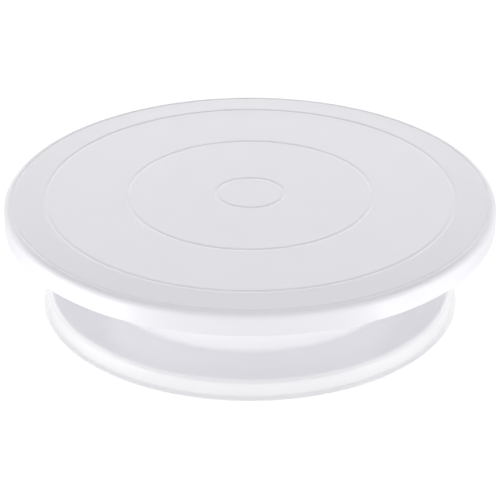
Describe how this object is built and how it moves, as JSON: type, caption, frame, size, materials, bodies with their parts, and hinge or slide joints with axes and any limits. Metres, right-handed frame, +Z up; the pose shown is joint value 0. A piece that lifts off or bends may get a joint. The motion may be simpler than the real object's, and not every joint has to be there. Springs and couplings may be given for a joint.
{
  "type": "cake turntable",
  "caption": "White moulded cake turntable: a round plate with engraved centring rings turns on a ball bearing over a wide hollow pedestal with rubber feet.",
  "frame": {"origin": "on the surface the turntable stands on, under the middle of the plate", "axes": "+Z up along the plate's spin axis; the turntable is round, so X and Y only fix where the ribs and feet fall, with a foot at +X"},
  "size_m": [0.2808, 0.2808, 0.0665],
  "materials": {
    "plate_plastic": "satin-gloss white moulded plastic",
    "base_plastic": "satin-gloss white moulded plastic",
    "race_steel": "pressed steel, lightly oiled",
    "ball_steel": "polished bearing steel",
    "cage_nylon": "natural nylon",
    "bush_brass": "turned brass",
    "pivot_steel": "turned steel",
    "fastener_steel": "zinc-plated steel",
    "foot_rubber": "matt rubber"
  },
  "bodies": {
    "root": {"base": "base_plastic", "centre_bush": "bush_brass", "lower_race": "race_steel", "rubber_foot_1": "foot_rubber", "rubber_foot_2": "foot_rubber", "rubber_foot_3": "foot_rubber", "rubber_foot_4": "foot_rubber", "rubber_foot_5": "foot_rubber", "rubber_foot_6": "foot_rubber"},
    "plate": {"top_plate": "plate_plastic", "upper_race": "race_steel", "spindle": "pivot_steel", "retaining_washer": "fastener_steel", "retaining_screw": "fastener_steel"},
    "cage": {"ball_cage": "cage_nylon"},
    "bearing_ball_01": {"ball_01": "ball_steel"},
    "bearing_ball_02": {"ball_02": "ball_steel"},
    "bearing_ball_03": {"ball_03": "ball_steel"},
    "bearing_ball_04": {"ball_04": "ball_steel"},
    "bearing_ball_05": {"ball_05": "ball_steel"},
    "bearing_ball_06": {"ball_06": "ball_steel"},
    "bearing_ball_07": {"ball_07": "ball_steel"},
    "bearing_ball_08": {"ball_08": "ball_steel"},
    "bearing_ball_09": {"ball_09": "ball_steel"},
    "bearing_ball_10": {"ball_10": "ball_steel"},
    "bearing_ball_11": {"ball_11": "ball_steel"},
    "bearing_ball_12": {"ball_12": "ball_steel"}
  },
  "joints": [
    {"name": "plate_spin", "type": "hinge", "parent": "root", "child": "plate", "pos_m": [0, 0, 0.06], "axis": [0, 0, 1], "continuous": true},
    {"name": "cage_spin", "type": "hinge", "parent": "root", "child": "cage", "pos_m": [0, 0, 0.0588], "axis": [0, 0, 1], "continuous": true},
    {"name": "ball_01_spin", "type": "hinge", "parent": "cage", "child": "bearing_ball_01", "pos_m": [0.036, 0, 0.0588], "axis": [1, 0, 0], "continuous": true},
    {"name": "ball_02_spin", "type": "hinge", "parent": "cage", "child": "bearing_ball_02", "pos_m": [0.03118, 0.018, 0.0588], "axis": [0.866, 0.5, 0], "continuous": true},
    {"name": "ball_03_spin", "type": "hinge", "parent": "cage", "child": "bearing_ball_03", "pos_m": [0.018, 0.03118, 0.0588], "axis": [0.5, 0.866, 0], "continuous": true},
    {"name": "ball_04_spin", "type": "hinge", "parent": "cage", "child": "bearing_ball_04", "pos_m": [0, 0.036, 0.0588], "axis": [0, 1, 0], "continuous": true},
    {"name": "ball_05_spin", "type": "hinge", "parent": "cage", "child": "bearing_ball_05", "pos_m": [-0.018, 0.03118, 0.0588], "axis": [-0.5, 0.866, 0], "continuous": true},
    {"name": "ball_06_spin", "type": "hinge", "parent": "cage", "child": "bearing_ball_06", "pos_m": [-0.03118, 0.018, 0.0588], "axis": [-0.866, 0.5, 0], "continuous": true},
    {"name": "ball_07_spin", "type": "hinge", "parent": "cage", "child": "bearing_ball_07", "pos_m": [-0.036, 0, 0.0588], "axis": [-1, 0, 0], "continuous": true},
    {"name": "ball_08_spin", "type": "hinge", "parent": "cage", "child": "bearing_ball_08", "pos_m": [-0.03118, -0.018, 0.0588], "axis": [-0.866, -0.5, 0], "continuous": true},
    {"name": "ball_09_spin", "type": "hinge", "parent": "cage", "child": "bearing_ball_09", "pos_m": [-0.018, -0.03118, 0.0588], "axis": [-0.5, -0.866, 0], "continuous": true},
    {"name": "ball_10_spin", "type": "hinge", "parent": "cage", "child": "bearing_ball_10", "pos_m": [0, -0.036, 0.0588], "axis": [0, -1, 0], "continuous": true},
    {"name": "ball_11_spin", "type": "hinge", "parent": "cage", "child": "bearing_ball_11", "pos_m": [0.018, -0.03118, 0.0588], "axis": [0.5, -0.866, 0], "continuous": true},
    {"name": "ball_12_spin", "type": "hinge", "parent": "cage", "child": "bearing_ball_12", "pos_m": [0.03118, -0.018, 0.0588], "axis": [0.866, -0.5, 0], "continuous": true}
  ],
  "couplings": [
    {"joint": "cage_spin", "follows": "plate_spin", "ratio": 0.5},
    {"joint": "ball_01_spin", "follows": "plate_spin", "ratio": -6},
    {"joint": "ball_02_spin", "follows": "plate_spin", "ratio": -6},
    {"joint": "ball_03_spin", "follows": "plate_spin", "ratio": -6},
    {"joint": "ball_04_spin", "follows": "plate_spin", "ratio": -6},
    {"joint": "ball_05_spin", "follows": "plate_spin", "ratio": -6},
    {"joint": "ball_06_spin", "follows": "plate_spin", "ratio": -6},
    {"joint": "ball_07_spin", "follows": "plate_spin", "ratio": -6},
    {"joint": "ball_08_spin", "follows": "plate_spin", "ratio": -6},
    {"joint": "ball_09_spin", "follows": "plate_spin", "ratio": -6},
    {"joint": "ball_10_spin", "follows": "plate_spin", "ratio": -6},
    {"joint": "ball_11_spin", "follows": "plate_spin", "ratio": -6},
    {"joint": "ball_12_spin", "follows": "plate_spin", "ratio": -6}
  ]
}
